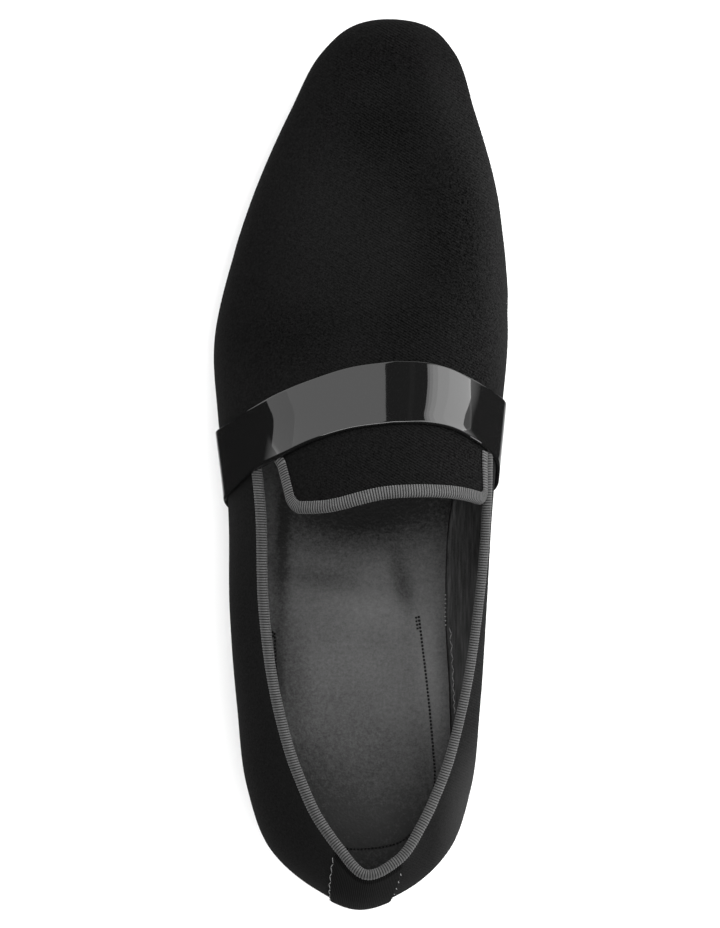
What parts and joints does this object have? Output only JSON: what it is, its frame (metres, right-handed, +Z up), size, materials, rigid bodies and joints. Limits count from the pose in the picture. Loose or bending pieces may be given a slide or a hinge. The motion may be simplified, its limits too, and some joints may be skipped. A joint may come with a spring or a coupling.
{
  "type": "velvet loafer",
  "caption": "Left men's loafer in black velvet with a patent strap over the vamp, grey ribbed binding on collar and tongue, leather sole and low heel.",
  "frame": {"origin": "on the floor under the middle of the shoe's length and width", "axes": "+X towards the inner side of the foot, +Y towards the toe, +Z up"},
  "size_m": [0.0999, 0.301, 0.0878],
  "materials": {
    "heel_rubber": "matt black rubber",
    "heel_leather": "black stacked leather, waxed edge",
    "sole_leather": "black sole leather, smooth edge",
    "sock_leather": "dark grey smooth lining leather",
    "black_velvet": "black cotton velvet, soft sheen",
    "black_patent_leather": "black patent leather, high gloss",
    "grey_grosgrain": "grey grosgrain ribbon, fine ribs",
    "tongue_grosgrain": "grey grosgrain ribbon, fine ribs",
    "strip_velvet": "black cotton velvet, nap running down"
  },
  "bodies": {
    "root": {"top_lift": "heel_rubber", "heel_block": "heel_leather", "outsole": "sole_leather", "insole": "sock_leather", "upper": "black_velvet", "strap": "black_patent_leather", "collar_binding": "grey_grosgrain", "tongue_binding": "tongue_grosgrain", "back_strip": "strip_velvet"}
  },
  "joints": []
}
